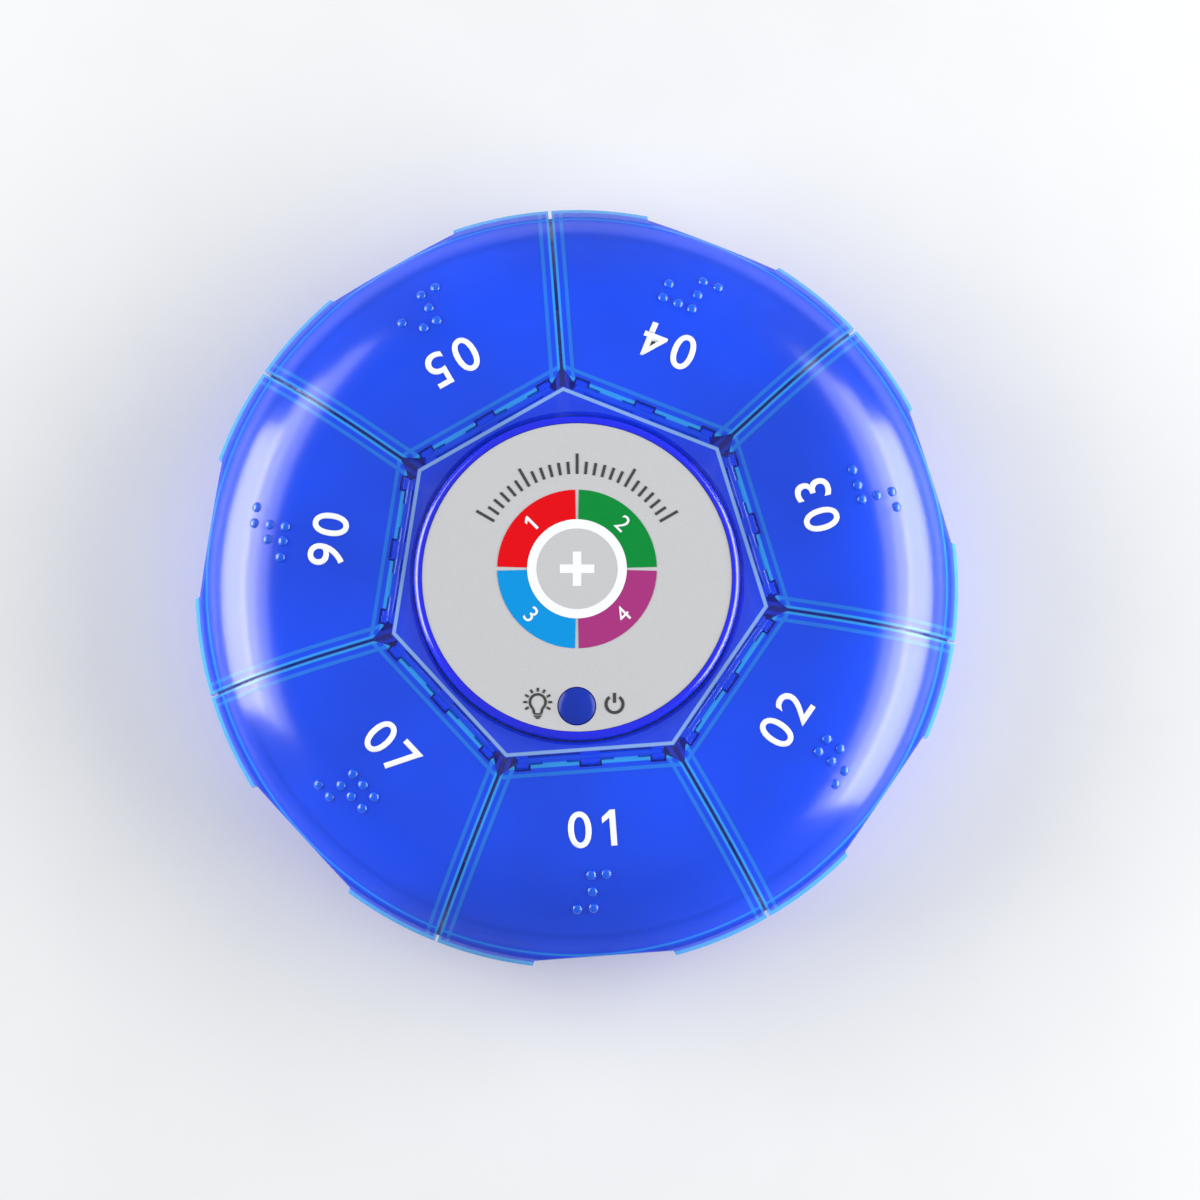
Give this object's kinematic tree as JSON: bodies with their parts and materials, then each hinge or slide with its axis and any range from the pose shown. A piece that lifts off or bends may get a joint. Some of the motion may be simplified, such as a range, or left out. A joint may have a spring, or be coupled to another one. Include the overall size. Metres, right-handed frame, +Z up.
{
  "type": "round weekly pill box with reminder timer",
  "caption": "Round translucent pill box with hinged domed lids over wedge compartments and a lift-out push-button reminder timer in the hub.",
  "frame": {"origin": "centre of the tray's flat underside", "axes": "+Z up, out of the timer's face; lid 1 is centred on -Y and the lids follow counter-clockwise seen from above; the push button is at the -Y side"},
  "size_m": [0.117, 0.116, 0.0267],
  "materials": {
    "tray_blue": "clear royal-blue moulded plastic, glossy, edges bright",
    "lid_blue": "clear royal-blue moulded plastic, polished outside, lightly hazed inside",
    "case_blue": "deep blue moulded plastic, glossy",
    "button_blue": "dark blue domed cap, glossy",
    "label_grey": "printed film label, pale grey, satin",
    "board_green": "glass-fibre board with solder mask",
    "black_plastic": "moulded black component bodies",
    "led_lens": "clear epoxy lens",
    "steel": "bright nickel-plated steel",
    "contact_metal": "plated spring contact"
  },
  "bodies": {
    "tray": {"tray": "tray_blue"},
    "lid_1": {"lid_1": "lid_blue"},
    "lid_2": {"lid_2": "lid_blue"},
    "lid_3": {"lid_3": "lid_blue"},
    "lid_4": {"lid_4": "lid_blue"},
    "lid_5": {"lid_5": "lid_blue"},
    "lid_6": {"lid_6": "lid_blue"},
    "lid_7": {"lid_7": "lid_blue"},
    "timer": {"timer_case": "case_blue", "timer_bezel": "case_blue", "face_label": "label_grey", "switch_body": "black_plastic", "circuit_board": "board_green", "status_led": "led_lens", "buzzer": "black_plastic", "controller_chip": "black_plastic", "crystal": "steel", "chip_resistors": "black_plastic", "coin_cell": "steel", "cell_clip_positive": "contact_metal", "cell_contact_negative": "contact_metal", "case_screws": "steel", "board_screws": "steel"},
    "button": {"push_button": "button_blue", "switch_plunger": "black_plastic"},
    "battery_door": {"battery_door": "case_blue"}
  },
  "joints": [
    {"name": "lid_1_hinge", "type": "hinge", "parent": "tray", "child": "lid_1", "pos_m": [0, -0.027, 0.02434], "axis": [-1, 0, 0], "range_deg": [0, 90]},
    {"name": "lid_2_hinge", "type": "hinge", "parent": "tray", "child": "lid_2", "pos_m": [0.02111, -0.01683, 0.02434], "axis": [0.6235, 0.7818, 0], "range_deg": [-90, 0]},
    {"name": "lid_3_hinge", "type": "hinge", "parent": "tray", "child": "lid_3", "pos_m": [0.02632, 0.00601, 0.02434], "axis": [0.2225, -0.9749, 0], "range_deg": [0, 90]},
    {"name": "lid_4_hinge", "type": "hinge", "parent": "tray", "child": "lid_4", "pos_m": [0.01171, 0.02433, 0.02434], "axis": [-0.901, 0.4339, 0], "range_deg": [-90, 0]},
    {"name": "lid_5_hinge", "type": "hinge", "parent": "tray", "child": "lid_5", "pos_m": [-0.01171, 0.02433, 0.02434], "axis": [0.901, 0.4339, 0], "range_deg": [0, 90]},
    {"name": "lid_6_hinge", "type": "hinge", "parent": "tray", "child": "lid_6", "pos_m": [-0.02632, 0.00601, 0.02434], "axis": [-0.2225, -0.9749, 0], "range_deg": [-90, 0]},
    {"name": "lid_7_hinge", "type": "hinge", "parent": "tray", "child": "lid_7", "pos_m": [-0.02111, -0.01683, 0.02434], "axis": [-0.6235, 0.7818, 0], "range_deg": [0, 45]},
    {"name": "timer_lift", "type": "slide", "parent": "tray", "child": "timer", "axis": [0, 0, 1], "range_m": [0, 0.024]},
    {"name": "button_press", "type": "slide", "parent": "timer", "child": "button", "axis": [0, 0, -1], "range_m": [0, 0.0006], "stiffness_N_per_m": 60},
    {"name": "battery_door_turn", "type": "hinge", "parent": "timer", "child": "battery_door", "pos_m": [0, 0, 0.0087], "axis": [0, 0, 1], "range_deg": [0, 45]}
  ]
}
